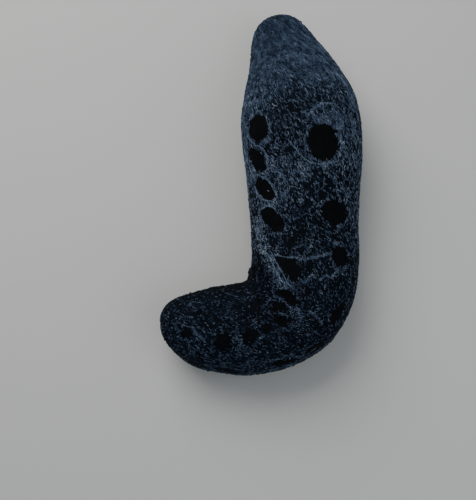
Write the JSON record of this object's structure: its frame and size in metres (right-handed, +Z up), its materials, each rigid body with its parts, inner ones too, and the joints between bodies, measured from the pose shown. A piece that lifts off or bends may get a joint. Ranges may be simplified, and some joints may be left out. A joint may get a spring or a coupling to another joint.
{
  "type": "black sea cucumber",
  "caption": "Life-size still sea cucumber bent into an L, with sand-dusted black skin, two rows of bare round spots, tube feet under the sole and a ring of mouth tentacles.",
  "frame": {"origin": "centre of the bounding box, at the floor under the tube feet", "axes": "+Y from the bend towards the tail end along the long straight length, +X away from the head end, +Z up from the floor"},
  "size_m": [0.1032, 0.1966, 0.0495],
  "materials": {
    "sanded_skin": "matt black wrinkled skin under a thin coat of sand",
    "bare_skin": "wet black skin, satin",
    "sand": "pale coral sand grains, matt"
  },
  "bodies": {
    "root": {"head_end": "sanded_skin", "front_bend": "sanded_skin", "middle_bend": "sanded_skin", "rear_bend": "sanded_skin", "middle_length": "sanded_skin", "rear_length": "sanded_skin", "tail_end": "sanded_skin", "mouth_tentacles": "bare_skin"}
  },
  "joints": []
}
